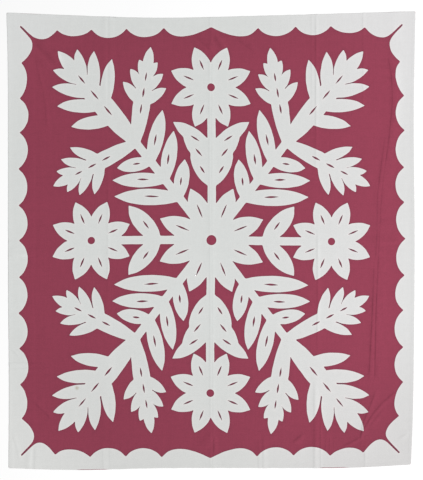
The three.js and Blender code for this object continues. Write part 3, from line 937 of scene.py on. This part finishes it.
def streaks(tree, place, kind):
    """Streaks along the threads that run both ways."""
    plain = Noise(1.0, kind.detail)
    warp = noise(tree, stretched(tree, place, (kind.across, kind.along, 1.0)), plain)
    weft = noise(tree, stretched(tree, place, (kind.along, kind.across, 1.0)), plain)
    return combined(tree, "ADD", warp, weft)


def thread(tree, place, direction):
    """Height of the threads that run one way."""
    inputs = {"Vector": place, **WEAVE_WAVE}
    return add(tree, "ShaderNodeTexWave", inputs, bands_direction=direction).outputs[1]


def bumped(tree, height, strength, distance):
    """Surface normals from a height, given the depth of its full range in millimetres."""
    inputs = {"Height": height, "Strength": strength, "Distance": distance * MM}
    return add(tree, "ShaderNodeBump", inputs).outputs[0]


def principled(name):
    """(material, node tree, main shader) of a new material."""
    material = bpy.data.materials.new(name)
    material.use_nodes = True
    tree = material.node_tree
    return material, tree, tree.nodes["Principled BSDF"]


def shade(colour, share):
    """A colour made lighter or darker by a share."""
    return (*[c * share for c in colour], 1.0)


def marked(tree, tone, attribute, low, high, tint):
    """The tone multiplied by a tint where a vertex attribute is high."""
    value = add(tree, "ShaderNodeAttribute", attribute_name=attribute).outputs["Fac"]
    share = ranged(tree, value, low, high, 0.0, 1.0)
    return mixed(tree, share, tone, mixed(tree, 1.0, tone, (*tint, 1.0), "MULTIPLY"))


def weighted(tree, *terms):
    """The sum of some values, each times its weight."""
    total = 0.0
    for value, weight in terms:
        total = combined(tree, "ADD", combined(tree, "MULTIPLY", value, weight), total)
    return total


def cotton(name, cloth, painted_lights, stain=None):
    """Plain-woven cotton with uneven threads, soft mottling, broad painted light and shade, and marks
    along its seams and creases.
    """
    material, tree, shader = principled(name)
    place = add(tree, "ShaderNodeTexCoord").outputs["Object"]
    mottle = noise(tree, place, MOTTLE)
    slub = streaks(tree, place, SLUB)
    uneven = weighted(
        tree,
        (slub, SLUB_WEIGHT),
        (streaks(tree, place, STREAK), STREAK_WEIGHT),
        (noise(tree, place, GRAIN), GRAIN_WEIGHT),
        (mottle, MOTTLE_WEIGHT),
        (noise(tree, place, BROAD), BROAD_WEIGHT),
    )
    uneven = ranged(tree, uneven, *UNEVEN_RANGE, 0.0, 1.0)
    dark = shade(cloth.colour, 1 - cloth.spread)
    light = shade(cloth.colour, 1 + cloth.spread)
    tone = mixed(tree, uneven, dark, light)
    # Broad painted light and shade across the cloth
    for fade in painted_lights:
        tone = with_painted_light(tree, place, tone, fade)
    # Marks along creases and seams; on the red these are painted shade
    tone = marked(tree, tone, "crease", *CREASE_MARK_RANGE, cloth.crease)
    tone = marked(tree, tone, "seam", 0.0, 1.0, cloth.seam)
    # Painted shade in the narrow gaps, on the red alone
    if cloth.narrow:
        tone = marked(tree, tone, "narrow", 0.0, 1.0, cloth.narrow)
    if stain:
        tone = stained(tree, place, tone, stain)
    weave = combined(tree, "MULTIPLY", thread(tree, place, "X"), thread(tree, place, "Y"))
    height = combined(tree, "ADD", weave, combined(tree, "MULTIPLY", slub, SLUB_HEIGHT))
    roughness = ranged(tree, mottle, *MOTTLE_RANGE, *COTTON_ROUGHNESS)
    tree.links.new(tone, shader.inputs["Base Color"])
    tree.links.new(roughness, shader.inputs["Roughness"])
    tree.links.new(bumped(tree, height, WEAVE_STRENGTH, WEAVE_HEIGHT), shader.inputs["Normal"])
    shader.inputs["Specular IOR Level"].default_value = COTTON_SPECULAR
    shader.inputs["Sheen Weight"].default_value = COTTON_SHEEN
    shader.inputs["Sheen Roughness"].default_value = COTTON_SHEEN_ROUGHNESS
    return material


def with_painted_light(tree, place, tone, fade):
    """The tone with one slow stretch of painted light and shade across the cloth."""
    inputs = {0: place, 1: fade.towards}
    along = add(tree, "ShaderNodeVectorMath", inputs, operation="DOT_PRODUCT").outputs["Value"]
    share = ranged(tree, along, fade.low, fade.high, 0.0, 1.0)
    tint = mixed(tree, share, (*fade.start, 1.0), (*fade.end, 1.0))
    return mixed(tree, 1.0, tone, tint, "MULTIPLY")


def stained(tree, place, tone, stain):
    """The tone with one small soft water stain."""
    inputs = {0: place, 1: (stain.x * MM, stain.y * MM, stain.z * MM)}
    distance = add(tree, "ShaderNodeVectorMath", inputs, operation="DISTANCE").outputs["Value"]
    shift = stain.ragged * MM
    ragged = ranged(tree, noise(tree, place, STAIN_RAGGED), 0, 1, -shift, shift)
    mark = ranged(tree, combined(tree, "ADD", distance, ragged), 0.0, stain.radius * MM, 1.0, 0.0)
    return mixed(tree, mark, tone, (*stain.colour, 1.0))


def thread_material(name, colour):
    """Sewing thread with a fine twist."""
    material, tree, shader = principled(name)
    place = add(tree, "ShaderNodeTexCoord").outputs["Object"]
    inputs = {"Vector": place, **TWIST_WAVE}
    twist = add(tree, "ShaderNodeTexWave", inputs, bands_direction="DIAGONAL").outputs[1]
    tone = mixed(tree, twist, shade(colour, TWIST_DARK), shade(colour, TWIST_LIGHT))
    tree.links.new(tone, shader.inputs["Base Color"])
    tree.links.new(ranged(tree, twist, 0, 1, *THREAD_ROUGHNESS), shader.inputs["Roughness"])
    tree.links.new(bumped(tree, twist, TWIST_STRENGTH, TWIST_HEIGHT), shader.inputs["Normal"])
    shader.inputs["Specular IOR Level"].default_value = THREAD_SPECULAR
    return material


def floor_material():
    """Pale matt studio floor."""
    material, tree, shader = principled("studio floor")
    place = add(tree, "ShaderNodeTexCoord").outputs["Object"]
    mottle = noise(tree, place, FLOOR_MOTTLE)
    tone = mixed(tree, mottle, shade(FLOOR_COLOUR, FLOOR_DARK), shade(FLOOR_COLOUR, FLOOR_LIGHT))
    tree.links.new(tone, shader.inputs["Base Color"])
    shader.inputs["Roughness"].default_value = FLOOR_ROUGHNESS
    shader.inputs["Specular IOR Level"].default_value = FLOOR_SPECULAR
    return material


def floor():
    """A large plain floor just under the cloth."""
    half = FLOOR_SIZE / 2
    corners = [(-half, -half), (half, -half), (half, half), (-half, half)]
    mesh = bpy.data.meshes.new("floor")
    mesh.from_pydata([(x, y, -FLOOR_DROP * MM) for x, y in corners], [], [(0, 1, 2, 3)])
    mesh.materials.append(floor_material())
    made = placed("floor", mesh)


def lights():
    """One broad soft light from the right, and even light all round."""
    lamp = bpy.data.lights.new("key", "AREA")
    lamp.shape = "DISK"
    lamp.size = KEY_SIZE
    lamp.energy = KEY_POWER
    key = placed("key", lamp)
    key.location = KEY_PLACE
    key.rotation_mode = "QUATERNION"
    key.rotation_quaternion = (-Vector(KEY_PLACE)).to_track_quat("-Z", "Y")
    world = bpy.data.worlds.new("even light")
    world.use_nodes = True
    sky = world.node_tree.nodes["Background"]
    sky.inputs["Color"].default_value = (*WORLD_COLOUR, 1.0)
    sky.inputs["Strength"].default_value = WORLD_STRENGTH
    bpy.context.scene.world = world
    bpy.context.scene.view_settings.view_transform = "Standard"


def camera():
    """A long lens straight above, framed so that the cloth fills the picture as photographed."""
    data = bpy.data.cameras.new("camera")
    data.sensor_width = SENSOR
    data.lens = SENSOR * CAMERA_HEIGHT / (IMAGE_HEIGHT * IMAGE_SCALE * MM)
    data.clip_end = CAMERA_REACH
    x = (IMAGE_WIDTH / 2 - CLOTH_CENTRE_PIXEL[0]) * IMAGE_SCALE * MM
    y = (CLOTH_CENTRE_PIXEL[1] - IMAGE_HEIGHT / 2) * IMAGE_SCALE * MM
    made = placed("camera", data)
    made.location = (x, y, CAMERA_HEIGHT)
    bpy.context.scene.camera = made


camera()
lights()
floor()

stitch_draw = np.random.default_rng(STITCH_SEED)
ground = ground_sheet()
border_rings = [HEM_RINGS] + [EDGE_RINGS] * (len(border_lines) - 1)
border = applique_sheet("border_sheet", border_lines, border_rings)
centre = applique_sheet("centre_sheet", centre_lines, [EDGE_RINGS] * len(centre_lines))
border_sewing = [
    (*seam_stitches(border_lines[1:], stitch_draw), STITCH_SIZE),
    (*hem_stitches(border_lines[0], stitch_draw), HEM_STITCH_SIZE),
]
border_thread = stitch_object("border_stitches", border_sewing)
centre_sewing = [(*seam_stitches(centre_lines, stitch_draw), STITCH_SIZE)]
centre_thread = stitch_object("centre_stitches", centre_sewing)

white_thread = thread_material("white thread", THREAD_COLOUR)
ground.data.materials.append(cotton("red cotton", RED_COTTON, RED_PAINTED_LIGHT))
border.data.materials.append(cotton("white cotton border", WHITE_COTTON, WHITE_PAINTED_LIGHT))
centre.data.materials.append(cotton("white cotton centre", WHITE_COTTON, WHITE_PAINTED_LIGHT, STAIN))
border_thread.data.materials.append(white_thread)
centre_thread.data.materials.append(white_thread)

for piece in (ground, border, centre, border_thread, centre_thread):
    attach(piece, "root")
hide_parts("ground_cloth")
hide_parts("border_applique")
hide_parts("centre_applique")
